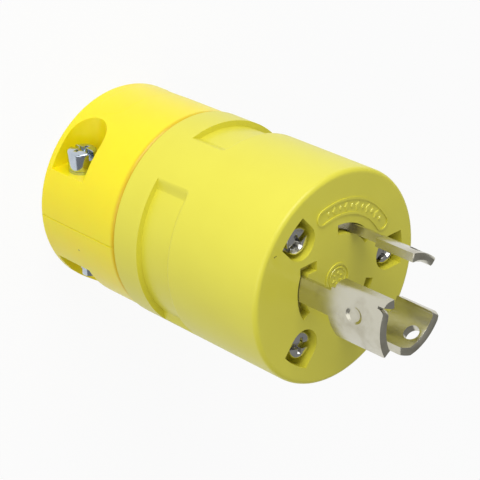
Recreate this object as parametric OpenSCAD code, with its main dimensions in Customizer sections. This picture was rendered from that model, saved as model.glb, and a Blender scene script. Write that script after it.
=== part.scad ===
// Locking power plug, three blades, 15 A class, for cord mounting.
// The plug stands on its cord end: the axis is +Z, the cord enters at z = 0,
// and the blades point up from the front face. The two clamp halves part on
// the XZ plane, with the ground blade on the -X side.

/* [Body] */
// Outside diameter of the front housing
body_d = 38; // [37:0.5:41]
// Length from the cord end to the front face
body_l = 55; // [54:0.5:58]
// Radius along the edge of the front face
face_round = 0.9; // [0.4:0.1:1.2]
// Thickness of the front face between the screw pockets
face_t = 7; // [6.4:0.2:7.4]
// Wall of the front housing
housing_wall = 2.8; // [2.6:0.1:3]
// Depth of the three finger grips
grip_depth = 1.1; // [0.6:0.1:1.4]
// Length of a finger grip along the axis
grip_l = 7.4; // [6:0.2:9]
// Arc of one finger grip, in degrees
grip_arc = 87; // [60:1:100]

/* [Cord clamp] */
// Length of the two clamp halves
clamp_l = 20.2; // [19.6:0.2:21]
// Outside diameter of the closed clamp
clamp_d = 37.5; // [36.6:0.1:38]
// Diameter of the cord passage
cord_d = 16.6; // [14:0.2:17]
// Height of the gripping teeth in the cord passage
tooth_h = 0.8; // [0.4:0.1:1.2]
// Number of gripping teeth in each half
tooth_n = 4; // [2:1:4]
// Distance of each clamp screw from the axis
clamp_screw_x = 13; // [12.9:0.1:13.3]
// Height of the clamp screws above the cord end
clamp_screw_z = 5.8; // [5.6:0.1:6]
// Distance from the parting plane to the floor of a screw pocket
pocket_floor = 8.6; // [8:0.1:9]
// Width of a clamp screw pocket
pocket_w = 8.6; // [8:0.1:9]

/* [Blades] */
// Thickness of the blade strip
blade_t = 1.5; // [1.4:0.05:1.6]
// Radius of the outer side of the blades
blade_r = 9.2; // [9.1:0.05:9.3]
// Height of the ground blade above the face
ground_h = 18.1; // [16:0.1:18.5]
// Height of the neutral and hot blades above the face
line_h = 15.6; // [14.5:0.1:16.5]
// Height of the blade necks, under the locking heads
neck_h = 7.1; // [6.5:0.1:7.5]
// Diameter of the hole near the tip of the neutral and hot blades
hole_d = 2.8; // [2:0.1:3.2]

/* [Fasteners] */
// Outside diameter of the screw threads
screw_d = 3.5; // [3:0.1:3.6]
// Diameter of the clamp screw heads
head_d = 5.2; // [4.9:0.1:5.4]
// Diameter of the face screw heads
face_head_d = 4.8; // [4.5:0.1:5.2]
// Height of the screw heads
head_h = 3.6; // [3:0.1:3.8]
// Width of the square nuts
nut_w = 6.2; // [6:0.1:6.3]
// Thickness of the square nuts
nut_t = 2.6; // [2.2:0.1:2.8]

/* [Hidden] */
$fn = 96;
overlap = 0.4;
body_r = body_d / 2;

// Front housing
grip_z = 26.3;
grip_ease = 0.9;
grips = [60, 180, 300];
bore_r = body_r - housing_wall;
face_back = body_l - face_t;
screw_angles = [0, 131, 230.5];
screw_r = 12.7;
well_w = 6.3;
well_out = 16;
well_floor = body_l - 4.3;
banner_r = [11.15, 14.1];
banner_arc = [30, 105];
mark_r = 2.35;
line_w = 0.4;
line_h_raised = 0.25;
line_step = 0.05;

// Blade slots in the face: start and end angle of each
slot_gap = 0.15;
hot_slot = [30.5, 88.8];
ground_slot = [151.5, 210.5];
neutral_slot = [264.5, 339];
slot_out = blade_r + slot_gap;
base_top = body_l - 1.5;

// Blades: start and end angle of the neck and of the locking head
hot_r = blade_r + 0.3;
hot_neck = [44.5, 67];
hot_head = [44.5, 80.5];
hot_corners = [0.8, 1];
ground_neck = [157.5, 184.5];
ground_head_end = 211;
shoulder_tilt = 10;
// angle, height, diameter and depth of the dimple in the ground blade
dimple = [171.5, 12.1, 3.4, 0.3];
neutral_neck = [271, 312];
neutral_head = [271, 334];
neutral_corners = [3, 2];
hook_y = 4.95;
hook_x = 5.7;
hook_slot_x = 4.8;
bend_x = -sqrt(pow(blade_r - blade_t, 2) - pow(hook_y - blade_t, 2));
bend_a = atan2(hook_y - blade_t, bend_x);
tip_bevel = 0.45;
ear_h = 1.7;
ear_extra = 5;
tail_w = 8;
tail_end = 31.5;
tail_set = 0.2;

// Contact carrier and its terminal chambers
carrier_r = bore_r - 0.2;
carrier_z = 26;
chambers = [60, 180, 300];
chamber_w = 10.4;
chamber_in = 6.2;
chamber_z = [31, 44.6];
wire_d = 3.9;
wire_r = 10.2;
skirt_in = 12.2;
skirt_out = 14.8;
flange_r = 16.2;
flange_z = [13.2, 15.6];
nut_z = 38;
nut_slot_gap = 0.15;
carrier_screw_end = 31;

// Terminals
term_z = 38;
term_plate_r = 11.4;
term_plate_t = 1.3;
term_plate_w = 9;
term_plate_l = 9;
term_head_d = 6.4;
term_head_h = 2.3;
term_tip_r = 6.6;

// Clamp halves
clamp_r = clamp_d / 2;
clamp_front_round = 0.9;
clamp_rear_round = 0.5;
rim_z = 12.8;
lip_gap = 0.2;
core_arc = 50;
core_r = [11, 16.2];
core_z = 2.6;
tooth_z = 3;
tooth_pitch = 2;
washer_t = 0.5;
washer_d = 5.1;
tip_y = -12;
seam_chamfer = 0.12;

// A block bent round the axis, from radius r0 to r1 and from angle a[0] to a[1]
module bent(r0, r1, a, z0, z1) {
    rotate([0, 0, a[0]])
        rotate_extrude(angle = a[1] - a[0])
            translate([r0, z0])
                square([r1 - r0, z1 - z0]);
}

// Removes the corner of a bent plate at angle a and height z, to radius r.
// side is +1 for the end at the higher angle and -1 for the lower one, and past is
// how far the cut reaches over that end. The arc crosses both edges at a slight
// angle, as on a blanked strip.
module corner_cut(a, z, r, side, past = 1) {
    d = 0.95 * r;
    rotate([0, 0, a])
        translate([0, -side * d, z - d])
            rotate([0, 90, 0])
                difference() {
                    translate([-r - 1, side > 0 ? 0 : -r - past, blade_r - 4])
                        cube([r + 1, r + past, 6]);
                    translate([0, 0, blade_r - 5])
                        cylinder(r = r, h = 8);
                }
}

// A cylinder standing on the axis at angle a, pointing outwards from radius r0 to r1
module radial(a, z, d, r0, r1) {
    rotate([0, 0, a])
        translate([r0, 0, z])
            rotate([0, 90, 0])
                cylinder(d = d, h = r1 - r0);
}

// Section of an outside corner of radius c at [r, z], curving to the +z side
function corner(r, z, c, up) = [
    for (i = [0:6])
        let (t = up ? i * 15 : 90 - i * 15)
        [r - c + c * cos(t), z + (up ? 1 : -1) * (c * sin(t) - c)]
];

module face_line(r0, r1, a) {
    bent(r0, r1, a, body_l - overlap, body_l + line_h_raised);
}

// Raised outline of the banner: two arcs joined by two half rings
module banner() {
    mid = (banner_r[0] + banner_r[1]) / 2;
    half = (banner_r[1] - banner_r[0]) / 2;
    face_line(banner_r[1] - line_w, banner_r[1], banner_arc);
    face_line(banner_r[0], banner_r[0] + line_w, banner_arc);
    for (i = [0, 1])
        rotate([0, 0, banner_arc[i]])
            translate([mid, 0, body_l - overlap])
                rotate([0, 0, i == 0 ? 172 : -8])
                    rotate_extrude(angle = 196)
                        translate([half - line_w + line_step, 0])
                            square([line_w - 2 * line_step, line_h_raised + overlap]);
}

// Well for a face screw: round on the inside, ended by an arc on the outside
module screw_well() {
    intersection() {
        union() {
            translate([screw_r, 0, well_floor])
                cylinder(d = well_w, h = 10);
            translate([screw_r, -well_w / 2, well_floor])
                cube([10, well_w, 10]);
        }
        cylinder(r = well_out, h = 100);
    }
}

module blade_slot(r, a) {
    bent(r - blade_t - slot_gap, r + slot_gap, a, face_back - 1, body_l + 1);
}

module hook_slot() {
    translate([-slot_out + 0.7, hook_y - blade_t - slot_gap, face_back - 1])
        cube([slot_out - 0.7 - hook_slot_x, blade_t + 2 * slot_gap, face_t + 2]);
}

module housing_blank() {
    rotate_extrude()
        polygon(concat(
            [[bore_r, clamp_l], [body_r - 0.3, clamp_l], [body_r, clamp_l + 0.3]],
            corner(body_r, body_l, face_round, true),
            [[0, body_l], [0, face_back], [bore_r, face_back]]
        ));
}

// Finger grip: its rear wall is crisp, and its front edge is eased
module finger_grip(a) {
    front = grip_z + grip_l;
    rotate([0, 0, a - grip_arc / 2])
        rotate_extrude(angle = grip_arc)
            polygon([
                [body_r - grip_depth, grip_z], [body_r + 1, grip_z], [body_r + 1, front + grip_ease],
                [body_r + 0.02, front + grip_ease], [body_r - 0.07, front + 0.5 * grip_ease],
                [body_r - 0.25, front + 0.2 * grip_ease], [body_r - 0.55, front],
                [body_r - grip_depth, front - 0.3]
            ]);
}

module front_housing() {
    color("#eeee6e")
        union() {
            difference() {
                housing_blank();
                for (a = grips)
                    finger_grip(a);
                for (a = screw_angles)
                    rotate([0, 0, a]) {
                        screw_well();
                        translate([screw_r, 0, face_back - 1])
                            cylinder(d = screw_d + 0.3, h = face_t);
                    }
                blade_slot(hot_r, hot_slot);
                blade_slot(blade_r, ground_slot);
                blade_slot(blade_r, neutral_slot);
                hook_slot();
            }
            banner();
            translate([0, 0, body_l - overlap])
                difference() {
                    cylinder(r = mark_r, h = line_h_raised + overlap);
                    translate([0, 0, -1])
                        cylinder(r = mark_r - line_w, h = 3);
                }
        }
}

// Recess in the carrier's top for the ears of a blade, and the way for its tail
module blade_seat(r, slot, a) {
    bent(r - blade_t - slot_gap, r + slot_gap, [slot[0] - ear_extra - 1, slot[1] + ear_extra + 1],
        face_back - ear_h - 0.1, face_back + 1);
    rotate([0, 0, a])
        translate([r - blade_t - tail_set - 0.1, -tail_w / 2 - 0.2, chamber_z[1] - 1])
            cube([blade_t + 0.2, tail_w + 0.4, 8]);
}

module terminal_chamber() {
    translate([chamber_in, -chamber_w / 2, chamber_z[0]])
        cube([20, chamber_w, chamber_z[1] - chamber_z[0]]);
    translate([wire_r, 0, carrier_z - 1])
        cylinder(d = wire_d, h = 10);
    translate([wire_r, 0, carrier_z - 0.01])
        cylinder(d1 = wire_d + 1.6, d2 = wire_d, h = 1.2);
    translate([term_tip_r - 2, 0, term_z])
        rotate([0, 90, 0])
            cylinder(d = screw_d + 0.6, h = 5);
}

// Slot that a nut slides into from the side; the screw pulls the nut up against its roof
module nut_slot() {
    translate([screw_r - nut_w / 2 - nut_slot_gap, -nut_w / 2 - nut_slot_gap, nut_z - nut_slot_gap])
        cube([20, nut_w + 2 * nut_slot_gap, nut_t + nut_slot_gap]);
    translate([screw_r, 0, carrier_screw_end - 2])
        cylinder(d = screw_d + 0.3, h = 30);
}

module contact_carrier() {
    color("#d9d4c4")
        difference() {
            rotate_extrude()
                polygon([
                    [0, carrier_z], [skirt_in, carrier_z], [skirt_in, flange_z[0]],
                    [flange_r, flange_z[0]], [flange_r, flange_z[1]], [skirt_out, flange_z[1]],
                    [skirt_out, carrier_z - 2], [carrier_r - 0.6, carrier_z - 2],
                    [carrier_r, carrier_z - 1.4], [carrier_r, face_back], [0, face_back]
                ]);
            for (a = chambers)
                rotate([0, 0, a])
                    terminal_chamber();
            for (a = screw_angles)
                rotate([0, 0, a])
                    nut_slot();
            blade_seat(hot_r, hot_slot, chambers[0]);
            blade_seat(blade_r, ground_slot, chambers[1]);
            blade_seat(blade_r, neutral_slot, chambers[2]);
        }
}

// Tube that the blades are cut from, bevelled at its upper end
module blade_tube(r, top, c) {
    in = r - blade_t;
    rotate_extrude()
        polygon([
            [in, face_back - ear_h], [r, face_back - ear_h], [r, top - c],
            [r - c, top], [in + c, top], [in, top - c]
        ]);
}

// Wedge from the axis outwards, between two angles and two heights
module sector(a, z0, z1) {
    r = 2 * blade_r;
    translate([0, 0, z0])
        linear_extrude(z1 - z0)
            polygon([[0, 0], [r * cos(a[0]), r * sin(a[0])], [r * cos(a[1]), r * sin(a[1])]]);
}

// A blade's bent plate: ears under the face, base in the slot, neck, locking head
module blade_plate(r, ears, base, neck, head, shoulder, top, c) {
    intersection() {
        blade_tube(r, top, c);
        union() {
            sector(ears, face_back - ear_h - 1, face_back);
            sector(base, face_back - 1, base_top);
            sector(neck, base_top - 1, shoulder + 1);
            sector(head, shoulder, top + 1);
        }
    }
}

// Flat tail of a blade, tapped for the terminal screw
module blade_tail(r, a) {
    rotate([0, 0, a])
        difference() {
            translate([r - blade_t - tail_set, -tail_w / 2, tail_end])
                cube([blade_t, tail_w, face_back - ear_h / 2 - tail_end]);
            translate([r - blade_t - 2, 0, term_z])
                rotate([0, 90, 0])
                    cylinder(d = screw_d, h = 4);
        }
}

module line_blade(r, slot, neck, head, corners, a) {
    top = body_l + line_h;
    difference() {
        union() {
            blade_tail(r, a);
            blade_plate(r, [slot[0] - ear_extra, slot[1] + ear_extra], [slot[0] + 1, slot[1] - 1],
                neck, head, body_l + neck_h, top, tip_bevel);
        }
        corner_cut(head[0], top, corners[0], -1);
        corner_cut(head[1], top, corners[1], 1);
        radial((head[0] + head[1]) / 2 - 3.5, top - 2.5, hole_d, 6, 11);
    }
}

module hot_blade() {
    color("#c9c6bb")
        line_blade(hot_r, hot_slot, hot_neck, hot_head, hot_corners, chambers[0]);
}

module neutral_blade() {
    color("#c9c6bb")
        line_blade(blade_r, neutral_slot, neutral_neck, neutral_head, neutral_corners, chambers[2]);
}

// Hook of the ground blade: its edge is bent through a radius of one thickness,
// and ends in a flat flange that reaches in to x1
module hook(z0, z1, x1) {
    r = 2 * blade_t;
    translate([bend_x, hook_y - blade_t, z0]) {
        intersection() {
            cylinder(r = blade_t, h = z1 - z0);
            linear_extrude(z1 - z0)
                polygon([
                    [0, 0], [0, r], [r * cos(bend_a), r + r * sin(bend_a)],
                    [r * cos(bend_a), r * sin(bend_a)]
                ]);
        }
        cube([-bend_x - x1, blade_t, z1 - z0]);
    }
}

module ground_blade() {
    top = body_l + ground_h;
    shoulder = body_l + neck_h - 0.5;
    color("#c9c6bb")
        difference() {
            union() {
                blade_tail(blade_r, chambers[1]);
                blade_plate(blade_r, [ground_slot[0] - ear_extra, ground_slot[1] + ear_extra],
                    [bend_a, ground_slot[1] - 1], ground_neck, [bend_a, ground_head_end],
                    shoulder, top, 0.35);
                hook(face_back + 0.2, base_top, hook_x - 0.7);
                hook(shoulder + 0.7, top - 0.5, hook_x);
            }
            rotate([0, 0, ground_neck[1]])
                translate([blade_r - 4, 0, shoulder])
                    rotate([shoulder_tilt, 0, 0])
                        translate([0, 0, -3])
                            cube([6, 8, 3]);
            corner_cut(ground_head_end, top, 1.2, 1);
            corner_cut(bend_a + 1.6, top, 1.8, -1, 0.4);
            rotate([0, 0, dimple[0]])
                translate([blade_r - dimple[3], 0, body_l + dimple[1]])
                    rotate([0, 90, 0])
                        cylinder(d1 = dimple[2] - 1.2, d2 = dimple[2] + 0.6, h = 3 * dimple[3] / 2);
        }
}

module terminal_plate(a, c) {
    color(c)
        rotate([0, 0, a])
            difference() {
                union() {
                    translate([term_plate_r, -term_plate_w / 2, term_z - term_plate_l / 2])
                        cube([term_plate_t, term_plate_w, term_plate_l]);
                    for (s = [-1, 1])
                        translate([term_plate_r, s * term_plate_w * 0.3, term_z - term_plate_l / 2])
                            cylinder(d = 1.2, h = term_plate_l);
                }
                translate([term_plate_r - 2, 0, term_z])
                    rotate([0, 90, 0])
                        cylinder(d = screw_d + 0.3, h = 6);
            }
}

// Binding screw of a terminal: it passes the clamp plate and threads into the tail
module terminal_screw(a, c) {
    seat = term_plate_r + term_plate_t;
    color(c) {
        difference() {
            union() {
                radial(a, term_z, screw_d, term_tip_r, seat + overlap);
                radial(a, term_z, term_head_d, seat, seat + term_head_h - 0.5);
                rotate([0, 0, a])
                    translate([seat + term_head_h - 0.5, 0, term_z])
                        rotate([0, 90, 0])
                            cylinder(d1 = term_head_d, d2 = term_head_d - 1.4, h = 0.5);
            }
            rotate([0, 0, a])
                translate([seat + term_head_h - 1.1, -term_head_d, term_z - 0.5])
                    cube([4, 2 * term_head_d, 1]);
        }
    }
}

// Fillister screw along +Z with its seat at z = 0: head of diameter d above, shank below
module fillister(d, shank) {
    drive = 1.3;
    slot = 0.9;
    cross = 3.2;
    difference() {
        union() {
            translate([0, 0, -shank])
                cylinder(d = screw_d, h = shank + overlap);
            rotate_extrude()
                polygon([
                    [0, 0], [d / 2, 0], [d / 2, head_h - 0.55],
                    [d / 2 - 0.12, head_h - 0.3], [d / 2 - 0.5, head_h - 0.12], [0, head_h]
                ]);
        }
        translate([-d, -slot / 2, head_h - drive])
            cube([2 * d, slot, 3]);
        translate([-slot / 2, -cross / 2, head_h - drive - 0.3])
            cube([slot, cross, 3]);
    }
}

module face_screws() {
    color("#b9b9b4")
        for (i = [0:2])
            rotate([0, 0, screw_angles[i]])
                translate([screw_r, 0, well_floor])
                    rotate([0, 0, 35 + 40 * i])
                        fillister(face_head_d, well_floor - carrier_screw_end);
}

// Square nut with its bore along +Z, lying on z = 0
module square_nut() {
    difference() {
        translate([-nut_w / 2, -nut_w / 2, 0])
            cube([nut_w, nut_w, nut_t]);
        translate([0, 0, -1])
            cylinder(d = screw_d, h = nut_t + 2);
    }
}

module carrier_nuts() {
    color("#a9a9a4")
        for (a = screw_angles)
            rotate([0, 0, a])
                translate([screw_r, 0, nut_z])
                    square_nut();
}

// Pocket for a clamp screw, open at the side, with a rounded inner end
module clamp_pocket(side) {
    x0 = clamp_screw_x - 0.4;
    translate([side * x0, pocket_floor, clamp_screw_z])
        rotate([-90, 0, 0])
            cylinder(d = pocket_w, h = 20);
    translate([side > 0 ? x0 : -x0 - 20, pocket_floor, clamp_screw_z - pocket_w / 2])
        cube([20, 20, pocket_w]);
}

// Teeth that grip the cord: ridges of triangular section
module cord_teeth() {
    root = cord_d / 2 + 1;
    for (i = [0:tooth_n - 1])
        translate([0, 0, tooth_z + tooth_pitch * i])
            rotate_extrude()
                polygon([
                    [root, 0], [cord_d / 2 - tooth_h, tooth_pitch / 2], [root, tooth_pitch]
                ]);
}

// The +Y half of the clamp. nut_side sinks a seat for a nut in each pocket's floor.
module clamp_half(nut_side) {
    difference() {
        union() {
            rotate_extrude()
                polygon(concat(
                    [[cord_d / 2 + 0.8, 0], [clamp_r - clamp_rear_round, 0]],
                    [[clamp_r - 0.15, 0.15], [clamp_r, clamp_rear_round]],
                    corner(clamp_r, clamp_l - lip_gap / 2, clamp_front_round, true),
                    [
                        [skirt_out + lip_gap, clamp_l - lip_gap / 2],
                        [skirt_out + lip_gap, flange_z[1]],
                        [flange_r + lip_gap, flange_z[1]],
                        [flange_r + lip_gap, rim_z], [cord_d / 2, rim_z], [cord_d / 2, 0.8]
                    ]
                ));
            cord_teeth();
        }
        translate([-50, -100, -1])
            cube([100, 100, 60]);
        for (side = [-1, 1]) {
            clamp_pocket(side);
            translate([side * clamp_screw_x, -1, clamp_screw_z])
                rotate([-90, 0, 0])
                    cylinder(d = screw_d + 0.3, h = 20);
            rotate([0, 0, side > 0 ? 0 : 180])
                translate([clamp_r, 0, -1])
                    rotate([0, 0, 45])
                        translate([-seam_chamfer, -seam_chamfer, 0])
                            cube([2 * seam_chamfer, 2 * seam_chamfer, clamp_l + 2]);
            if (nut_side)
                translate([
                    side * clamp_screw_x - nut_w / 2 - 0.1, pocket_floor - nut_t,
                    clamp_screw_z - nut_w / 2 - 0.1
                ])
                    cube([nut_w + 0.2, nut_t + 1, nut_w + 0.2]);
        }
        bent(core_r[0], core_r[1], [90 - core_arc / 2, 90 + core_arc / 2], core_z, rim_z + 1);
    }
}

module clamp_upper() {
    color("#fff04a")
        clamp_half(false);
}

module clamp_lower() {
    color("#fff04a")
        mirror([0, 1, 0])
            clamp_half(true);
}

module clamp_screws() {
    seat = pocket_floor + washer_t;
    color("#b7bcc2")
        for (side = [-1, 1])
            translate([side * clamp_screw_x, seat, clamp_screw_z])
                rotate([-90, 0, 0])
                    rotate([0, 0, side < 0 ? 90 : 35])
                        fillister(head_d, seat - tip_y);
}

module clamp_washers() {
    color("#b7bcc2")
        for (side = [-1, 1])
            translate([side * clamp_screw_x, pocket_floor, clamp_screw_z])
                rotate([-90, 0, 0])
                    difference() {
                        cylinder(d = washer_d, h = washer_t);
                        translate([0, 0, -1])
                            cylinder(d = screw_d + 0.2, h = 3);
                    }
}

module clamp_nuts() {
    color("#a9a9a4")
        for (side = [-1, 1])
            translate([side * clamp_screw_x, -pocket_floor, clamp_screw_z])
                rotate([-90, 0, 0])
                    square_nut();
}

front_housing();
contact_carrier();
ground_blade();
neutral_blade();
hot_blade();
terminal_plate(chambers[1], "#b8bcc0");  // ground_clamp_plate
terminal_plate(chambers[2], "#b8bcc0");  // neutral_clamp_plate
terminal_plate(chambers[0], "#c9a24a");  // hot_clamp_plate
terminal_screw(chambers[1], "#4f8a4b");  // ground_terminal_screw
terminal_screw(chambers[2], "#c4c6c8");  // neutral_terminal_screw
terminal_screw(chambers[0], "#c9a24a");  // hot_terminal_screw
face_screws();
carrier_nuts();
clamp_upper();
clamp_lower();
clamp_screws();
clamp_washers();
clamp_nuts();
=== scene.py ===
import math

import bmesh
import bpy
from bpy.props import FloatProperty, FloatVectorProperty, IntProperty, PointerProperty
from mathutils import Matrix, Vector


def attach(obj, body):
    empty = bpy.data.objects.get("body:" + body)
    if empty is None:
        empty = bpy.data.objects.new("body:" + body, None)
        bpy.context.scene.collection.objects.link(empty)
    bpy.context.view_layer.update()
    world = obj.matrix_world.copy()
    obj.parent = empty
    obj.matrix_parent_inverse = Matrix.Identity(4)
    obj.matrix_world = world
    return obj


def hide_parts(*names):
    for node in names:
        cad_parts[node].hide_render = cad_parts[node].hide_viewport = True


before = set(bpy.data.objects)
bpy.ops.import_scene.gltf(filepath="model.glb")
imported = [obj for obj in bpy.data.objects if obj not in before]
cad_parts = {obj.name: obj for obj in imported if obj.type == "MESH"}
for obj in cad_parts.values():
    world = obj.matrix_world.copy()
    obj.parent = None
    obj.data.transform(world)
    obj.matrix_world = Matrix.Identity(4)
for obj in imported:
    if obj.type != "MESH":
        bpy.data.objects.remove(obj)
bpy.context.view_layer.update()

bl_info = {
    "name": "Locking Power Plug",
    "version": (1, 0, 0),
    "blender": (4, 5, 0),
    "location": "View3D > Sidebar > Plug",
    "description": "Dresses a three-blade locking plug with finished shells, blades and screws",
    "category": "Object",
}

MM = 0.001

# Places that the solids fix, in millimetres and degrees. The axis is +Z, the cord enters at
# z = 0, and the clamp halves part on the XZ plane.
BODY_RADIUS = 19.0
FACE_Z = 55.0
SCREW_ANGLES = (0.0, 131.0, 230.5)
SCREW_RADIUS = 12.7
FACE_SCREW_SEAT = 50.7
FACE_SCREW_END = 31.0
CLAMP_RADIUS = 18.75
CLAMP_SCREW_X = 13.0
CLAMP_SCREW_Z = 5.8
CLAMP_SCREW_SEAT = 9.1
CLAMP_SCREW_END = -12.0

# Finger grips of the housing: middles, arc, lower and upper height, and depth. GRIP_EDGE is
# the section of their eased front edge, as depths below the housing's surface and distances
# past the upper height, and GRIP_EDGE_END is where that edge ends.
GRIPS = (60.0, 180.0, 300.0)
GRIP_ARC = 87.0
GRIP_Z = (26.3, 33.7)
GRIP_DEPTH = 1.1
GRIP_EDGE = ((1.1, -0.3), (0.55, 0.0), (0.25, 0.18), (0.07, 0.45))
GRIP_EDGE_END = 0.9
# The slope at a grip's end reaches RUN_OUT to either side of the solid's square wall, in that
# many sections on each side
RUN_OUT = 1.2
RUN_OUT_SECTIONS = 4

# Raised lines of the face: the solid's relief and what shows of it, and the radius of the
# outer ring in the solid and at full size. Nothing else stands within RING_REACH of the axis.
LINE_RELIEF = 0.25
MARK_RELIEF = 0.18
RING_RADIUS = (2.35, 2.8)
RING_REACH = 3.0
# Plain marks, as length and width, in the banner and round the middle. MARK_FOOT is how far
# they go down into the face.
MARK_FOOT = 0.04
BANNER_RADIUS = 12.62
BANNER_ARC = (36.0, 99.0)
BANNER_MARK = (1.9, 1.3)
CENTRE_COUNT = 6
CENTRE_RADIUS = 0.95
CENTRE_ARC = (20.0, 320.0)
CENTRE_MARK = (1.0, 0.75)
# Inner ring round the middle marks: inner and outer radius at its foot and at its top
INNER_RING_FOOT = (1.7, 2.1)
INNER_RING_TOP = (1.82, 1.98)

# Bare pad on the clamp's upper half, on the +Y side: height, half length and end radius
PAD_Z = 5.4
PAD_HALF = 4.3
PAD_ROUND = 2.9
# Height from which the clamp's thin front rim has its deeper colour, a painted shade for the
# crease where it meets the housing
CLAMP_RIM_SHADE = 19.9
# Specks of dirt, each a point and a radius, and their colour
DIRT = "#57511E"
FACE_SPECKS = (((-14.40, 9.32, FACE_Z), 0.17), ((-14.08, 9.38, FACE_Z), 0.15))
CLAMP_SPECKS = (((-18.31, -4.06, 9.74), 0.2),)

# Driving recesses: depth of the slot, depth and arms of the cross, and what is left of the
# cross at its floor
SLOT_DEPTH = 1.5
CROSS_DEPTH = 2.1
CROSS_ARMS = ((3.4, 0.9), (0.9, 3.6))
CROSS_TAPER = 0.5
# How the screws were left turned: the first face screw and the step to the next, then the
# clamp screw on -X and the one on +X
FACE_SCREW_TURN = (35.0, 40.0)
CLAMP_SCREW_TURNS = (90.0, 35.0)

# Cleaning of a copied solid: distance that merges corners, and the angles below which faces
# are one, above which an edge is eased, and above which an edge stays sharp
WELD = 0.002
FLAT_ANGLE = 0.6
EASED_ANGLE = 24.0
SHARP_ANGLE = 38.0

# Camera and lamps, in metres
CAMERA_PLACE = (-0.18906, 0.14050, 0.23317)
CAMERA_RIGHT = (0.7200, -0.0249, 0.6935)
CAMERA_DOWN = (-0.3326, -0.8895, 0.3133)
CAMERA_AHEAD = (0.6091, -0.4562, -0.6487)
CAMERA_LENS = 133.9
LAMP_AIM = (0.0, 0.0, 0.03)
# Strength of the world for light that falls on the plug, and in what the plug reflects
SKY_LIGHT = 0.45
SKY_REFLECTED = 0.24
# Share of the floor's look that is plain white. The rest is matt paper, which takes the shadow.
FLOOR_GLOW = 0.92


def linear(code):
    """An sRGB hex code as linear red, green, blue and alpha."""
    parts = [int(code[i : i + 2], 16) / 255 for i in (1, 3, 5)]
    lit = [c / 12.92 if c <= 0.04045 else ((c + 0.055) / 1.055) ** 2.4 for c in parts]
    return (*lit, 1.0)


def node(tree, kind, settings=None, inputs=None):
    """Adds one node to a tree. Each input is a plain value, a node whose first output is
    linked, or the output socket to link."""
    made = tree.nodes.new(kind)
    for key, value in (settings or {}).items():
        setattr(made, key, value)
    for key, value in (inputs or {}).items():
        if isinstance(value, bpy.types.Node):
            value = value.outputs[0]
        if isinstance(value, bpy.types.NodeSocket):
            tree.links.new(value, made.inputs[key])
        else:
            made.inputs[key].default_value = value
    return made


# ---------------------------------------------------------------- properties


class PlugColours(bpy.types.PropertyGroup):
    """Colours of the plug's finishes."""

    housing: FloatVectorProperty(
        name="Housing", description="Moulded front housing",
        default=linear("#E5DF49"), subtype="COLOR", size=4, min=0.0, max=1.0,
    )
    housing_tint: FloatVectorProperty(
        name="Housing tint", description="Slow colour drift in the housing",
        default=linear("#E0D842"), subtype="COLOR", size=4, min=0.0, max=1.0,
    )
    clamp: FloatVectorProperty(
        name="Cord clamp", description="Moulded clamp halves",
        default=linear("#FBEB10"), subtype="COLOR", size=4, min=0.0, max=1.0,
    )
    clamp_tint: FloatVectorProperty(
        name="Clamp tint", description="Slow colour drift in the clamp",
        default=linear("#F8E20C"), subtype="COLOR", size=4, min=0.0, max=1.0,
    )
    # Painted shade: the deeper colour of the clamp's front rim stands for the shaded crease where
    # it meets the housing
    clamp_rim_shade: FloatVectorProperty(
        name="Clamp rim", description="Deeper colour of the clamp's thin front rim",
        default=linear("#DDB804"), subtype="COLOR", size=4, min=0.0, max=1.0,
    )
    blade: FloatVectorProperty(
        name="Blades", description="Nickel on rolled brass strip",
        default=linear("#CBC8B8"), subtype="COLOR", size=4, min=0.0, max=1.0,
    )
    zinc: FloatVectorProperty(
        name="Zinc", description="Bright zinc on steel screws",
        default=linear("#C3CCD6"), subtype="COLOR", size=4, min=0.0, max=1.0,
    )
    face_zinc: FloatVectorProperty(
        name="Face screws", description="Nickel on steel screws",
        default=linear("#DAD9D6"), subtype="COLOR", size=4, min=0.0, max=1.0,
    )
    carrier: FloatVectorProperty(
        name="Carrier", description="Glass-filled nylon carrier",
        default=linear("#CFC9B6"), subtype="COLOR", size=4, min=0.0, max=1.0,
    )
    brass: FloatVectorProperty(
        name="Brass", description="Plain brass terminal parts",
        default=linear("#C9A04E"), subtype="COLOR", size=4, min=0.0, max=1.0,
    )
    green: FloatVectorProperty(
        name="Ground screw", description="Green-dyed zinc",
        default=linear("#3F8A48"), subtype="COLOR", size=4, min=0.0, max=1.0,
    )


class PlugSizes(bpy.types.PropertyGroup):
    """Sizes of the pieces that are made here, in metres."""

    shell_edge: FloatProperty(
        name="Shell edge", description="Width of the eased edges of the mouldings",
        default=0.22 * MM, min=0.0, unit="LENGTH", precision=5,
    )
    blade_edge: FloatProperty(
        name="Blade edge", description="Width of the eased edges of the blades",
        default=0.28 * MM, min=0.0, unit="LENGTH", precision=5,
    )
    face_head_d: FloatProperty(
        name="Face screw heads", description="Diameter of the face screw heads",
        default=4.8 * MM, min=1.0 * MM, unit="LENGTH", precision=5,
    )
    clamp_head_d: FloatProperty(
        name="Clamp screw heads", description="Diameter of the clamp screw heads",
        default=5.2 * MM, min=1.0 * MM, unit="LENGTH", precision=5,
    )
    head_h: FloatProperty(
        name="Head height", description="Height of the fillister heads",
        default=3.6 * MM, min=1.0 * MM, unit="LENGTH", precision=5,
    )
    slot_w: FloatProperty(
        name="Slot width", description="Width of the driving slot",
        default=1.1 * MM, min=0.2 * MM, unit="LENGTH", precision=5,
    )
    thread_d: FloatProperty(
        name="Thread diameter", description="Outside diameter of the threads",
        default=3.5 * MM, min=1.0 * MM, unit="LENGTH", precision=5,
    )
    pitch: FloatProperty(
        name="Thread pitch", description="Distance between neighbouring threads",
        default=0.8 * MM, min=0.2 * MM, unit="LENGTH", precision=5,
    )
    marks: IntProperty(
        name="Banner marks", description="Number of plain raised marks in the banner",
        default=11, min=2, max=40,
    )
    lamp: FloatProperty(
        name="Lamps", description="Brightness of the lamps, as a multiple of the usual",
        default=1.0, min=0.0, subtype="FACTOR", soft_max=4.0,
    )


# ---------------------------------------------------------------- materials


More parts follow.
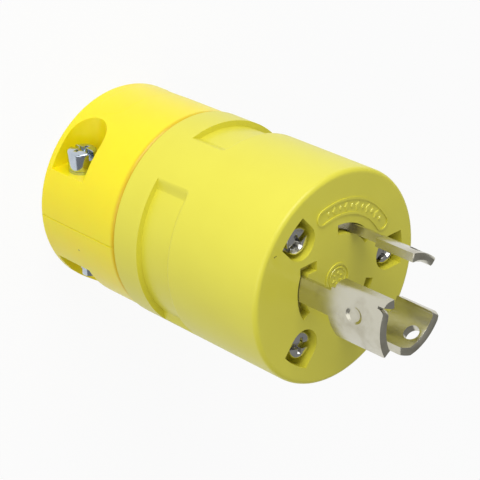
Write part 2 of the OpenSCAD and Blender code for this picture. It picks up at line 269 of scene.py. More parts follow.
def new_material(name):
    """A material with one shader, and the Object coordinates that its patterns read."""
    made = bpy.data.materials.new(name)
    made.use_nodes = True
    tree = made.node_tree
    tree.nodes.clear()
    shader = node(tree, "ShaderNodeBsdfPrincipled")
    node(tree, "ShaderNodeOutputMaterial", inputs={"Surface": shader})
    place = node(tree, "ShaderNodeTexCoord").outputs["Object"]
    return made, tree, shader, place


def speck_mask(tree, place, specks):
    """1 inside any of the specks, each a point and a radius in millimetres, and 0 outside."""
    total = 0.0
    for point, radius in specks:
        away = node(
            tree, "ShaderNodeVectorMath", {"operation": "DISTANCE"},
            {0: place, 1: Vector(point) * MM},
        )
        inside = node(
            tree, "ShaderNodeMapRange", {"interpolation_type": "SMOOTHSTEP"},
            {"Value": away.outputs["Value"], "From Min": 0.55 * radius * MM,
             "From Max": radius * MM, "To Min": 1.0, "To Max": 0.0},
        )
        total = node(tree, "ShaderNodeMath", {"operation": "MAXIMUM"}, {0: total, 1: inside})
    return total


def pad_mask(tree, place):
    """1 on the bare pad of the clamp's upper half and 0 round it, with a soft edge."""
    at = node(tree, "ShaderNodeSeparateXYZ", inputs={"Vector": place}).outputs
    angle = node(tree, "ShaderNodeMath", {"operation": "ARCTAN2"}, {0: at["X"], 1: at["Y"]})
    along = node(
        tree, "ShaderNodeMath", {"operation": "MULTIPLY"}, {0: angle, 1: CLAMP_RADIUS * MM}
    )
    aside = node(tree, "ShaderNodeMath", {"operation": "ABSOLUTE"}, {0: along})
    past = node(tree, "ShaderNodeMath", {"operation": "SUBTRACT"}, {0: aside, 1: PAD_HALF * MM})
    past = node(tree, "ShaderNodeMath", {"operation": "MAXIMUM"}, {0: past, 1: 0.0})
    up = node(tree, "ShaderNodeMath", {"operation": "SUBTRACT"}, {0: at["Z"], 1: PAD_Z * MM})
    offset = node(tree, "ShaderNodeCombineXYZ", inputs={"X": past, "Y": up})
    away = node(tree, "ShaderNodeVectorMath", {"operation": "LENGTH"}, {0: offset})
    return node(
        tree, "ShaderNodeMapRange", {"interpolation_type": "SMOOTHSTEP"},
        {"Value": away.outputs["Value"], "From Min": (PAD_ROUND - 0.2) * MM,
         "From Max": (PAD_ROUND + 0.2) * MM, "To Min": 1.0, "To Max": 0.0},
    )


def moulded_plastic(
    name, colour, tint, rough, grain_mm, bump, coat=0.0, specks=(), pad=False, polished=None,
    depth=0.0, rim=None,
):
    """Injection-moulded thermoplastic. The tool's fine spark texture gives it a soft satin
    sheen, and the pigment drifts slightly from place to place. Above the height polished the
    tool was polished instead. depth is how far light reaches into it, in millimetres. rim is
    the height from which its thin front rim is painted a deeper colour, and that colour: a
    painted shade for the crease where the clamp meets the housing."""
    made, tree, shader, place = new_material(name)
    # The pigment drifts over about 9 mm
    drift = node(
        tree, "ShaderNodeTexNoise", inputs={"Vector": place, "Scale": 1 / (9 * MM), "Detail": 2.0}
    )
    colours = node(
        tree, "ShaderNodeMix", {"data_type": "RGBA"}, {0: drift, 6: colour, 7: tint}
    ).outputs[2]
    if specks:
        dirt = speck_mask(tree, place, specks)
        colours = node(
            tree, "ShaderNodeMix", {"data_type": "RGBA"},
            {0: dirt, 6: colours, 7: linear(DIRT)},
        ).outputs[2]
    # Painted shade: from 1 mm below the rim's height the colour is mixed towards the deeper rim
    # colour, standing for the shaded crease at the clamp's front rim
    if rim is not None:
        height = node(tree, "ShaderNodeSeparateXYZ", inputs={"Vector": place}).outputs["Z"]
        near = node(
            tree, "ShaderNodeMapRange", {"interpolation_type": "SMOOTHSTEP"},
            {"Value": height, "From Min": (rim[0] - 1.0) * MM, "From Max": rim[0] * MM},
        )
        colours = node(
            tree, "ShaderNodeMix", {"data_type": "RGBA"}, {0: near, 6: colours, 7: rim[1]}
        ).outputs[2]
    tree.links.new(colours, shader.inputs["Base Color"])
    # Spark texture is about 0.05 mm across; it is drawn coarser so that it shows
    grain = node(
        tree, "ShaderNodeTexNoise",
        inputs={"Vector": place, "Scale": 1 / (grain_mm * MM), "Detail": 3.0, "Roughness": 0.6},
    )
    tone = node(
        tree, "ShaderNodeMapRange", inputs={
            "Value": grain, "From Min": 0.3, "From Max": 0.7,
            "To Min": rough - 0.04, "To Max": rough + 0.05,
        },
    )
    tree.links.new(tone.outputs["Result"], shader.inputs["Roughness"])
    relief = node(
        tree, "ShaderNodeBump",
        inputs={"Height": grain, "Strength": bump, "Distance": 0.02 * MM},
    )
    if pad:
        relief = node(
            tree, "ShaderNodeBump",
            inputs={"Height": pad_mask(tree, place), "Strength": 1.0, "Distance": 0.03 * MM,
                    "Normal": relief},
        )
    tree.links.new(relief.outputs["Normal"], shader.inputs["Normal"])
    shader.inputs["IOR"].default_value = 1.52
    shader.inputs["Coat Weight"].default_value = coat
    shader.inputs["Coat Roughness"].default_value = 0.12
    if polished is not None:
        # A clear coat stands for the polish: it adds a sharp sheen over the satin one
        height = node(tree, "ShaderNodeSeparateXYZ", inputs={"Vector": place}).outputs["Z"]
        sheen = node(
            tree, "ShaderNodeMapRange", inputs={
                "Value": height, "From Min": (polished - 0.1) * MM, "From Max": polished * MM,
                "To Min": coat, "To Max": 0.7,
            },
        )
        tree.links.new(sheen.outputs["Result"], shader.inputs["Coat Weight"])
        shader.inputs["Coat Roughness"].default_value = 0.06
    if depth:
        # Yellow pigment lets red light furthest through, and hardly any blue
        shader.inputs["Subsurface Weight"].default_value = 0.3
        shader.inputs["Subsurface Radius"].default_value = (1.0, 0.6, 0.08)
        shader.inputs["Subsurface Scale"].default_value = depth * MM
    return made


def plated_metal(
    name, colour, tarnish, rough, line_mm, bump, stretch=(1.0, 1.0, 1.0), wear=0.25, metallic=1.0
):
    """Plated or turned metal: bright, with faint lines left by rolling or tumbling, each
    about line_mm across, and a thin uneven haze where it has been handled."""
    made, tree, shader, place = new_material(name)
    drawn = node(tree, "ShaderNodeMapping", inputs={"Vector": place, "Scale": stretch})
    lines = node(
        tree, "ShaderNodeTexNoise",
        inputs={"Vector": drawn, "Scale": 1 / (line_mm * MM), "Detail": 4.0, "Roughness": 0.65},
    )
    # Handling leaves the haze in patches about 3.5 mm across
    haze = node(
        tree, "ShaderNodeTexNoise",
        inputs={"Vector": place, "Scale": 1 / (3.5 * MM), "Detail": 3.0},
    )
    share = node(
        tree, "ShaderNodeMapRange", {"interpolation_type": "SMOOTHSTEP"},
        {"Value": haze, "From Min": 0.45, "From Max": 0.75, "To Min": 0.0, "To Max": wear},
    )
    colours = node(
        tree, "ShaderNodeMix", {"data_type": "RGBA"}, {0: share, 6: colour, 7: tarnish}
    )
    tree.links.new(colours.outputs[2], shader.inputs["Base Color"])
    tone = node(
        tree, "ShaderNodeMapRange", inputs={
            "Value": lines, "From Min": 0.3, "From Max": 0.7,
            "To Min": rough * 0.94, "To Max": rough * 1.1,
        },
    )
    tree.links.new(tone.outputs["Result"], shader.inputs["Roughness"])
    relief = node(
        tree, "ShaderNodeBump",
        inputs={"Height": lines, "Strength": bump, "Distance": 0.01 * MM},
    )
    tree.links.new(relief.outputs["Normal"], shader.inputs["Normal"])
    shader.inputs["Metallic"].default_value = metallic
    return made


def material(name):
    """The finish of that name, made the first time it is asked for."""
    found = bpy.data.materials.get(name)
    if found:
        return found
    c = bpy.context.scene.plug_colours
    makers = {
        # Soft satin side walls, and a front face that came off a polished tool
        "housing_moulded_pvc": lambda: moulded_plastic(
            name, c.housing, c.housing_tint, rough=0.38, grain_mm=0.22, bump=0.3,
            specks=FACE_SPECKS, polished=FACE_Z - 0.02,
        ),
        # Fuller yellow that glows a little, because light comes back from inside it. Its front
        # rim has a painted shade for the crease where it meets the housing
        "clamp_moulded_nylon": lambda: moulded_plastic(
            name, c.clamp, c.clamp_tint, rough=0.36, grain_mm=0.30, bump=0.12, coat=0.06,
            specks=CLAMP_SPECKS, pad=True, depth=1.2, rim=(CLAMP_RIM_SHADE, c.clamp_rim_shade),
        ),
        # Dull ivory: the glass fibres lie just under the skin and roughen it
        "carrier_filled_nylon": lambda: moulded_plastic(
            name, c.carrier, linear("#C4BDA8"), rough=0.5, grain_mm=0.25, bump=0.4
        ),
        # A soft mirror, faintly drawn out along the blade, with a warm haze
        "blade_nickelled_brass": lambda: plated_metal(
            name, c.blade, linear("#8D8468"), rough=0.22, line_mm=1.2, bump=0.03,
            stretch=(1.0, 1.0, 0.4), wear=0.4, metallic=0.95,
        ),
        # Cool and bright, with sharp reflections
        "screw_bright_zinc": lambda: plated_metal(
            name, c.zinc, linear("#8C97A8"), rough=0.16, line_mm=0.5, bump=0.05
        ),
        # As bright as the zinc, and a little warmer
        "screw_nickelled_steel": lambda: plated_metal(
            name, c.face_zinc, linear("#8A8678"), rough=0.14, line_mm=0.5, bump=0.05
        ),
        # Warm yellow metal that has dulled slightly
        "terminal_plain_brass": lambda: plated_metal(
            name, c.brass, linear("#96733A"), rough=0.24, line_mm=0.5, bump=0.06
        ),
        # Zinc with a clear green dye over it, which marks the ground terminal
        "terminal_green_zinc": lambda: plated_metal(
            name, c.green, linear("#2F6B38"), rough=0.28, line_mm=0.5, bump=0.06
        ),
    }
    return makers[name]()


# ---------------------------------------------------------------- shapes


def finish_piece(obj, slot_name, *stands_for):
    """Rides the piece on the plug and hides the solids that it stands for."""
    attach(obj, "root")
    if stands_for:
        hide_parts(*stands_for)


def only_finish(obj, finish):
    """Gives the whole of obj one material."""
    obj.data.materials.clear()
    obj.data.materials.append(finish)


def object_from(shape, name):
    """A new object with that shape, which is used up."""
    data = bpy.data.meshes.new(name)
    shape.to_mesh(data)
    shape.free()
    made = bpy.data.objects.new(name, data)
    bpy.context.collection.objects.link(made)
    return made


def plain_mesh(obj, name):
    """The evaluated shape of obj as a plain mesh object of its own; obj is removed."""
    bpy.context.view_layer.update()
    evaluated = obj.evaluated_get(bpy.context.evaluated_depsgraph_get())
    shape = bpy.data.meshes.new_from_object(evaluated)
    if not shape.polygons:
        raise RuntimeError(f"{name} came out empty")
    shape.name = name
    old = obj.data
    bpy.data.objects.remove(obj)
    if old.users == 0:
        bpy.data.meshes.remove(old)
    made = bpy.data.objects.new(name, shape)
    bpy.context.collection.objects.link(made)
    return made


def smooth_by_angle(obj, degrees):
    """Smooth shading, with sharp edges where two faces meet at more than that angle."""
    shape = bmesh.new()
    shape.from_mesh(obj.data)
    for face in shape.faces:
        face.smooth = True
    for edge in shape.edges:
        edge.smooth = not (edge.is_manifold and edge.calc_face_angle() > math.radians(degrees))
    shape.to_mesh(obj.data)
    shape.free()


def eased(obj, width, segments, degrees):
    """obj with a bevel to add on every edge that turns more than that angle."""
    bevel = obj.modifiers.new("Eased edges", "BEVEL")
    bevel.width = width
    bevel.segments = segments
    bevel.limit_method = "ANGLE"
    bevel.angle_limit = math.radians(degrees)
    return bevel


def combined(obj, others, operation):
    """obj with the others added to it or taken from it, as a plain mesh; they are removed."""
    for other in others:
        boolean = obj.modifiers.new("Combined", "BOOLEAN")
        boolean.operation = operation
        boolean.solver = "EXACT"
        boolean.object = other
    made = plain_mesh(obj, obj.name)
    for other in others:
        bpy.data.objects.remove(other)
    return made


def sweep(shape, sections, wall, turn):
    """A closed solid through sections of (radius, height) points, each at a distance along
    the housing from angle wall. turn is +1 where the distance runs to higher angles."""
    rings = []
    for along, points in sections:
        a = math.radians(wall) + turn * along / BODY_RADIUS
        rings.append([
            shape.verts.new((r * MM * math.cos(a), r * MM * math.sin(a), z * MM))
            for r, z in points
        ])
    made = [shape.faces.new(rings[0]), shape.faces.new(rings[-1])]
    for one, two in zip(rings, rings[1:]):
        for k in range(len(one)):
            n = (k + 1) % len(one)
            made.append(shape.faces.new((one[k], one[n], two[n], two[k])))
    bmesh.ops.recalc_face_normals(shape, faces=made)


def run_out_grips(obj):
    """Gives both ends of each finger grip a soft slope in place of a square wall: a filling
    inside the wall and a cut outside it, both along the same S-shaped line."""
    # Radii within the housing's wall and clear of its outside, the distance between sections,
    # and how far the filling and the cut lap over the surfaces they meet
    inner, outer = BODY_RADIUS - 1.8, BODY_RADIUS + 1.5
    step, lap = RUN_OUT / RUN_OUT_SECTIONS, 0.04

    def slope(along):
        """Depth of the grip at a distance past its wall, from just above the housing's
        surface to just below the grip's floor."""
        t = min(max((along + RUN_OUT) / (2 * RUN_OUT), 0.0), 1.0)
        return -0.05 + (GRIP_DEPTH + 0.1) * t * t * (3 - 2 * t)

    def section(deep, back, low, lip):
        """Outline across the grip at that depth, closed at the radius back."""
        share, top = deep / GRIP_DEPTH, GRIP_Z[1] + GRIP_EDGE_END
        edge = [(BODY_RADIUS - down * share, GRIP_Z[1] + up) for down, up in GRIP_EDGE]
        foot = [(back, low), (BODY_RADIUS - deep, low)]
        return foot + edge + [(BODY_RADIUS + lip, top), (back, top)]

    fill, cut = bmesh.new(), bmesh.new()
    for middle in GRIPS:
        for turn in (1, -1):
            wall = middle - turn * GRIP_ARC / 2
            # The filling starts inside the solid's wall, a little lower, where it is hidden
            steps = [(-step, slope(0) + 0.1)]
            steps += [(step * i, slope(step * i)) for i in range(RUN_OUT_SECTIONS + 1)]
            sweep(fill, [
                (along, section(deep, inner, GRIP_Z[0] - step, -lap)) for along, deep in steps
            ], wall, turn)
            # The cut ends just past the wall, a little above the filling's slope
            steps = [(-step * i, slope(-step * i)) for i in range(RUN_OUT_SECTIONS, -1, -1)]
            steps += [(lap, slope(0) - 0.03)]
            sweep(cut, [
                (along, section(deep, outer, GRIP_Z[0], lap)) for along, deep in steps
            ], wall, turn)
    obj = combined(obj, [object_from(fill, "grip_fill")], "UNION")
    return combined(obj, [object_from(cut, "grip_cut")], "DIFFERENCE")


def soften_face_lines(shape):
    """Worn tool lines: lowers the raised lines of the face, and sets its ring at full size."""
    near = 0.01 * MM
    for vert in shape.verts:
        above = vert.co.z - FACE_Z * MM
        if above > near:
            vert.co.z = FACE_Z * MM + above * MARK_RELIEF / LINE_RELIEF
        from_axis = math.hypot(vert.co.x, vert.co.y)
        if from_axis < RING_REACH * MM and above > -near:
            grown = from_axis + (RING_RADIUS[1] - RING_RADIUS[0]) * MM
            vert.co.x *= grown / from_axis
            vert.co.y *= grown / from_axis


def shell_from_solid(node_name, name, edge, finish, carve=None, change=None):
    """A finished shell from a copy of a solid's mesh: its loose triangles are merged, flat
    areas become whole faces, and its edges are eased with a small rounded bevel. carve
    reshapes the copy as an object, and change moves the corners of its merged mesh."""
    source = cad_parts[node_name]
    shape = bmesh.new()
    shape.from_mesh(source.data)
    shape.transform(source.matrix_world)
    bmesh.ops.remove_doubles(shape, verts=shape.verts, dist=WELD * MM)
    if carve:
        carved = carve(object_from(shape, name))
        shape = bmesh.new()
        shape.from_mesh(carved.data)
        bpy.data.objects.remove(carved)
        bmesh.ops.remove_doubles(shape, verts=shape.verts, dist=WELD * MM)
    bmesh.ops.dissolve_degenerate(shape, dist=WELD * MM, edges=shape.edges)
    bmesh.ops.dissolve_limit(
        shape, angle_limit=math.radians(FLAT_ANGLE), verts=shape.verts, edges=shape.edges,
        use_dissolve_boundaries=False,
    )
    if change:
        change(shape)
    for face in shape.faces:
        face.smooth = True
    made = object_from(shape, name)
    bevel = eased(made, edge, segments=3, degrees=EASED_ANGLE)
    bevel.use_clamp_overlap = True
    bevel.miter_outer = "MITER_ARC"
    made = plain_mesh(made, name)
    smooth_by_angle(made, SHARP_ANGLE)
    weighted = made.modifiers.new("Even shading", "WEIGHTED_NORMAL")
    weighted.keep_sharp = True
    weighted.weight = 60
    made = plain_mesh(made, name)
    only_finish(made, finish)
    return made


def lathe(points, steps, ring=False):
    """A closed solid turned about Z from (radius, height) points. They start and end on the
    axis, or go once round the section of a ring."""
    shape = bmesh.new()
    rings = []
    for radius, height in points:
        if radius == 0:
            rings.append([shape.verts.new((0, 0, height))])
            continue
        angles = [2 * math.pi * k / steps for k in range(steps)]
        rings.append([
            shape.verts.new((radius * math.cos(a), radius * math.sin(a), height)) for a in angles
        ])
    for low, high in zip(rings, rings[1:] + rings[:1] if ring else rings[1:]):
        for k in range(steps):
            n = (k + 1) % steps
            corners = [
                low[k % len(low)], low[n % len(low)], high[n % len(high)], high[k % len(high)]
            ]
            # Where a ring is a single point on the axis, two of the corners are the same
            shape.faces.new(list(dict.fromkeys(corners)))
    bmesh.ops.recalc_face_normals(shape, faces=shape.faces)
    return shape


def block(name, size, low, high, taper):
    """A block of size (x, y) from height low to high, its lower end scaled by taper."""
    shape = bmesh.new()
    corners = []
    for height, scale in ((low, taper), (high, 1.0)):
        for x, y in ((-0.5, -0.5), (0.5, -0.5), (0.5, 0.5), (-0.5, 0.5)):
            corners.append(shape.verts.new((x * size[0] * scale, y * size[1] * scale, height)))
    sides = [(k, (k + 1) % 4, (k + 1) % 4 + 4, k + 4) for k in range(4)]
    for quad in [(3, 2, 1, 0), (4, 5, 6, 7)] + sides:
        shape.faces.new([corners[i] for i in quad])
    return object_from(shape, name)


def screw_head(diameter):
    """A fillister head with a driving slot and a cross recess, its seat at z = 0."""
    s = bpy.context.scene.plug_sizes
    r, h = diameter / 2, s.head_h
    ease, dome = 0.4 * MM, 0.14 * MM
    rim = h - dome - ease
    outline = [(0, 0), (r - 0.1 * MM, 0), (r, 0.1 * MM)]
    for degrees in (0, 18, 36, 54, 72, 86):
        a = math.radians(degrees)
        outline.append((r - ease + ease * math.cos(a), rim + ease * math.sin(a)))
    outline += [(0.5 * r, h - 0.35 * dome), (0.25 * r, h - 0.08 * dome), (0, h)]
    head = object_from(lathe(outline, 48), "screw_head")
    above = h + 1 * MM
    cutters = [block("slot_cut", (3 * r, s.slot_w), h - SLOT_DEPTH * MM, above, 1.0)]
    for long, wide in CROSS_ARMS:
        cutters.append(block(
            "cross_cut", (long * MM, wide * MM), h - CROSS_DEPTH * MM, above, CROSS_TAPER
        ))
    head = combined(head, cutters, "DIFFERENCE")
    eased(head, 0.05 * MM, segments=2, degrees=30.0)
    head = plain_mesh(head, "screw_head")
    smooth_by_angle(head, 40.0)
    return head


# ---------------------------------------------------------------- geometry trees


def new_tree(name, inputs):
    """A geometry tree with those inputs, each a socket type and a default. It gives the tree,
    what its input node hands on, and each input's identifier."""
    tree = bpy.data.node_groups.new(name, "GeometryNodeTree")
    for in_out in ("INPUT", "OUTPUT"):
        tree.interface.new_socket(
            name="Geometry", in_out=in_out, socket_type="NodeSocketGeometry"
        )
    ids = {}
    for key, (kind, default) in inputs.items():
        socket = tree.interface.new_socket(name=key, in_out="INPUT", socket_type=kind)
        if default is not None:
            socket.default_value = default
            socket.min_value = 0
        ids[key] = socket.identifier
    return tree, node(tree, "NodeGroupInput").outputs, ids


def end_tree(tree, instances, finish):
    """Makes the instances real, gives them their material and puts them out."""
    real = node(tree, "GeometryNodeRealizeInstances", inputs={"Geometry": instances})
    done = node(tree, "GeometryNodeSetMaterial", inputs={"Geometry": real, "Material": finish})
    node(tree, "NodeGroupOutput", inputs={"Geometry": done})


def screw_tree():
    """Puts a screw on each point: the head given, a core, and a thread wound round it.
    Each point's attribute named turn says which way its screw points."""
    tree, given, ids = new_tree("Screw Set", {
        "Head": ("NodeSocketObject", None),
        "Thread Diameter": ("NodeSocketFloat", 3.5 * MM),
        "Thread Pitch": ("NodeSocketFloat", 0.8 * MM),
        "Thread Length": ("NodeSocketFloat", 20 * MM),
        "Finish": ("NodeSocketMaterial", None),
    })
    diameter, pitch, length = (
        given["Thread Diameter"], given["Thread Pitch"], given["Thread Length"]
    )
    outer = node(tree, "ShaderNodeMath", {"operation": "MULTIPLY"}, {0: diameter, 1: 0.5})
    core_r = node(tree, "ShaderNodeMath", {"operation": "MULTIPLY"}, {0: diameter, 1: 0.42})
    ridge_r = node(tree, "ShaderNodeMath", {"operation": "SUBTRACT"}, {0: outer, 1: core_r})
    # The thread starts under the head and stops a little over one pitch short of the tip
    bare = node(tree, "ShaderNodeMath", {"operation": "MULTIPLY"}, {0: pitch, 1: 1.2})
    thread_l = node(tree, "ShaderNodeMath", {"operation": "SUBTRACT"}, {0: length, 1: bare})
    turns = node(tree, "ShaderNodeMath", {"operation": "DIVIDE"}, {0: thread_l, 1: pitch})

    core = node(
        tree, "GeometryNodeMeshCylinder", {"fill_type": "NGON"},
        {"Vertices": 32, "Radius": core_r, "Depth": length},
    )
    half_down = node(tree, "ShaderNodeMath", {"operation": "MULTIPLY"}, {0: length, 1: -0.5})
    half_down = node(tree, "ShaderNodeCombineXYZ", inputs={"Z": half_down})
    core = node(
        tree, "GeometryNodeTransform", inputs={"Geometry": core, "Translation": half_down}
    )
    helix = node(
        tree, "GeometryNodeCurveSpiral",
        inputs={"Resolution": 24, "Rotations": turns, "Start Radius": core_r,
                "End Radius": core_r, "Height": thread_l},
    )
    ridge = node(
        tree, "GeometryNodeCurvePrimitiveCircle", {"mode": "RADIUS"},
        {"Resolution": 6, "Radius": ridge_r},
    )
    thread = node(
        tree, "GeometryNodeCurveToMesh",
        inputs={"Curve": helix, "Profile Curve": ridge, "Fill Caps": True},
    )
    all_down = node(tree, "ShaderNodeMath", {"operation": "MULTIPLY"}, {0: thread_l, 1: -1.0})
    all_down = node(tree, "ShaderNodeCombineXYZ", inputs={"Z": all_down})
    thread = node(
        tree, "GeometryNodeTransform", inputs={"Geometry": thread, "Translation": all_down}
    )
    thread = node(
        tree, "GeometryNodeSetShadeSmooth", inputs={"Geometry": thread, "Shade Smooth": True}
    )
    head = node(tree, "GeometryNodeObjectInfo", inputs={"Object": given["Head"]})
    screw = node(tree, "GeometryNodeJoinGeometry")
    for part in (head.outputs["Geometry"], core.outputs[0], thread.outputs[0]):
        tree.links.new(part, screw.inputs["Geometry"])
    turn = node(
        tree, "GeometryNodeInputNamedAttribute", {"data_type": "FLOAT_VECTOR"}, {"Name": "turn"}
    ).outputs["Attribute"]
    turn = node(tree, "FunctionNodeEulerToRotation", inputs={"Euler": turn})
    placed = node(
        tree, "GeometryNodeInstanceOnPoints",
        inputs={"Points": given["Geometry"], "Instance": screw, "Rotation": turn},
    )
    end_tree(tree, placed, given["Finish"])
    return tree, ids


def arc_marks_tree():
    """Plain raised marks along an arc round Z: a lozenge and a small dot in turn, each with
    sloping sides and standing on z = 0."""
    tree, given, ids = new_tree("Arc Marks", {
        "Count": ("NodeSocketInt", 9),
        "Radius": ("NodeSocketFloat", 12 * MM),
        "First Angle": ("NodeSocketFloat", 0.0),
        "Last Angle": ("NodeSocketFloat", 1.0),
        "Mark Length": ("NodeSocketFloat", 1.5 * MM),
        "Mark Width": ("NodeSocketFloat", 1 * MM),
        "Relief": ("NodeSocketFloat", 0.25 * MM),
        "Finish": ("NodeSocketMaterial", None),
    })
    first, last, radius = given["First Angle"], given["Last Angle"], given["Radius"]
    index = node(tree, "GeometryNodeInputIndex")
    gaps = node(tree, "ShaderNodeMath", {"operation": "SUBTRACT"}, {0: given["Count"], 1: 1.0})
    share = node(tree, "ShaderNodeMath", {"operation": "DIVIDE"}, {0: index, 1: gaps})
    arc = node(tree, "ShaderNodeMath", {"operation": "SUBTRACT"}, {0: last, 1: first})
    part = node(tree, "ShaderNodeMath", {"operation": "MULTIPLY"}, {0: arc, 1: share})
    angle = node(tree, "ShaderNodeMath", {"operation": "ADD"}, {0: first, 1: part})
    place = {}
    for axis, operation in (("X", "COSINE"), ("Y", "SINE")):
        wave = node(tree, "ShaderNodeMath", {"operation": operation}, {0: angle})
        place[axis] = node(
            tree, "ShaderNodeMath", {"operation": "MULTIPLY"}, {0: radius, 1: wave}
        )
    place = node(tree, "ShaderNodeCombineXYZ", inputs=place)
    points = node(
        tree, "GeometryNodePoints", inputs={"Count": given["Count"], "Position": place}
    )
    kinds = node(tree, "GeometryNodeJoinGeometry")
    for corners, reach in ((4, 0.5), (20, 0.26)):
        mark = node(
            tree, "GeometryNodeMeshCone", {"fill_type": "NGON"},
            {"Vertices": corners, "Radius Top": 0.66 * reach, "Radius Bottom": reach,
             "Depth": 1.0},
        )
        alone = node(tree, "GeometryNodeGeometryToInstance", inputs={0: mark})
        tree.links.new(alone.outputs[0], kinds.inputs["Geometry"])
    turn = node(tree, "ShaderNodeCombineXYZ", inputs={"Z": angle})
    turn = node(tree, "FunctionNodeEulerToRotation", inputs={"Euler": turn})
    size = node(
        tree, "ShaderNodeCombineXYZ",
        inputs={"X": given["Mark Length"], "Y": given["Mark Width"], "Z": given["Relief"]},
    )
    which = node(tree, "ShaderNodeMath", {"operation": "MODULO"}, {0: index, 1: 2.0})
    placed = node(
        tree, "GeometryNodeInstanceOnPoints",
        inputs={"Points": points, "Instance": kinds, "Pick Instance": True,
                "Instance Index": which, "Rotation": turn, "Scale": size},
    )
    end_tree(tree, placed, given["Finish"])
    return tree, ids


def points_object(name, places):
    """One vertex for each (point, rotation), with the rotation kept as Euler angles in turn."""
    data = bpy.data.meshes.new(name)
    data.from_pydata([p for p, _ in places], [], [])
    turns = data.attributes.new("turn", "FLOAT_VECTOR", "POINT")
    for row, (_, turn) in zip(turns.data, places):
        row.vector = turn
    made = bpy.data.objects.new(name, data)
    bpy.context.collection.objects.link(made)
    return made


def run_tree(obj, tree, ids, values):
    """Runs a geometry tree on obj with these inputs. The result is a plain mesh, and obj is
    removed."""
    modifier = obj.modifiers.new(tree.name, "NODES")
    modifier.node_group = tree
    for key, value in values.items():
        modifier[ids[key]] = value
    made = plain_mesh(obj, obj.name)
    only_finish(made, values["Finish"])
    return made


# ---------------------------------------------------------------- operators


class PLUG_OT_housing(bpy.types.Operator):
    """Finished front housing, from its solid, with eased edges"""

    bl_idname = "plug.housing"
    bl_label = "Front Housing"

    def execute(self, context):
        made = shell_from_solid(
            "front_housing", "front_housing_shell", context.scene.plug_sizes.shell_edge,
            material("housing_moulded_pvc"), carve=run_out_grips, change=soften_face_lines,
        )
        finish_piece(made, "housing", "front_housing")
        return {"FINISHED"}


def face_marks(name, tree_and_ids, count, radius, arc, size):
    """A row of plain raised marks on the front face, as one piece."""
    made = run_tree(
        object_from(bmesh.new(), name), *tree_and_ids,
        {"Count": count, "Radius": radius * MM,
         "First Angle": math.radians(arc[0]), "Last Angle": math.radians(arc[1]),
         "Mark Length": size[0] * MM, "Mark Width": size[1] * MM,
         "Relief": (MARK_RELIEF + MARK_FOOT) * MM, "Finish": material("housing_moulded_pvc")},
    )
    made.data.transform(Matrix.Translation((0, 0, (FACE_Z - MARK_FOOT) * MM)))
    smooth_by_angle(made, 30.0)
    finish_piece(made, "housing")


class PLUG_OT_marks(bpy.types.Operator):
    """Plain raised marks in the banner and in the ring at the middle of the front face"""

    bl_idname = "plug.marks"
    bl_label = "Face Marks"

    def execute(self, context):
        marks, tree = context.scene.plug_sizes.marks, arc_marks_tree()
        face_marks("banner_marks", tree, marks, BANNER_RADIUS, BANNER_ARC, BANNER_MARK)
        face_marks("centre_marks", tree, CENTRE_COUNT, CENTRE_RADIUS, CENTRE_ARC, CENTRE_MARK)
        low, high = (FACE_Z - MARK_FOOT) * MM, (FACE_Z + MARK_RELIEF) * MM
        section = [(r * MM, low) for r in INNER_RING_FOOT]
        section += [(r * MM, high) for r in reversed(INNER_RING_TOP)]
        ring = object_from(lathe(section, 64, ring=True), "centre_ring")
        only_finish(ring, material("housing_moulded_pvc"))
        smooth_by_angle(ring, 30.0)
        finish_piece(ring, "housing")
        return {"FINISHED"}


class PLUG_OT_clamp(bpy.types.Operator):
    """Finished cord clamp halves, from their solids, with eased edges"""

    bl_idname = "plug.clamp"
    bl_label = "Cord Clamp"

    def execute(self, context):
        for name in ("clamp_upper", "clamp_lower"):
            made = shell_from_solid(
                name, name + "_shell", context.scene.plug_sizes.shell_edge,
                material("clamp_moulded_nylon"),
            )
            finish_piece(made, "clamp", name)
        return {"FINISHED"}


class PLUG_OT_blades(bpy.types.Operator):
    """Finished locking blades, from their solids, with bright eased edges"""

    bl_idname = "plug.blades"
    bl_label = "Blades"

    def execute(self, context):
        for name in ("ground_blade", "neutral_blade", "hot_blade"):
            made = shell_from_solid(
                name, name + "_strip", context.scene.plug_sizes.blade_edge,
                material("blade_nickelled_brass"),
            )
            finish_piece(made, "blade", name)
        return {"FINISHED"}


def screw_set(name, tree_and_ids, places, head_d, length, finish, stands_for):
    """The screws of one kind, as one piece that stands for their solids."""
    sizes = bpy.context.scene.plug_sizes
    head = screw_head(head_d)
    made = run_tree(
        points_object(name, places), *tree_and_ids,
        {"Head": head, "Thread Diameter": sizes.thread_d, "Thread Pitch": sizes.pitch,
         "Thread Length": length, "Finish": finish},
    )
    bpy.data.objects.remove(head)
    smooth_by_angle(made, 40.0)
    finish_piece(made, "steel_zinc", stands_for)


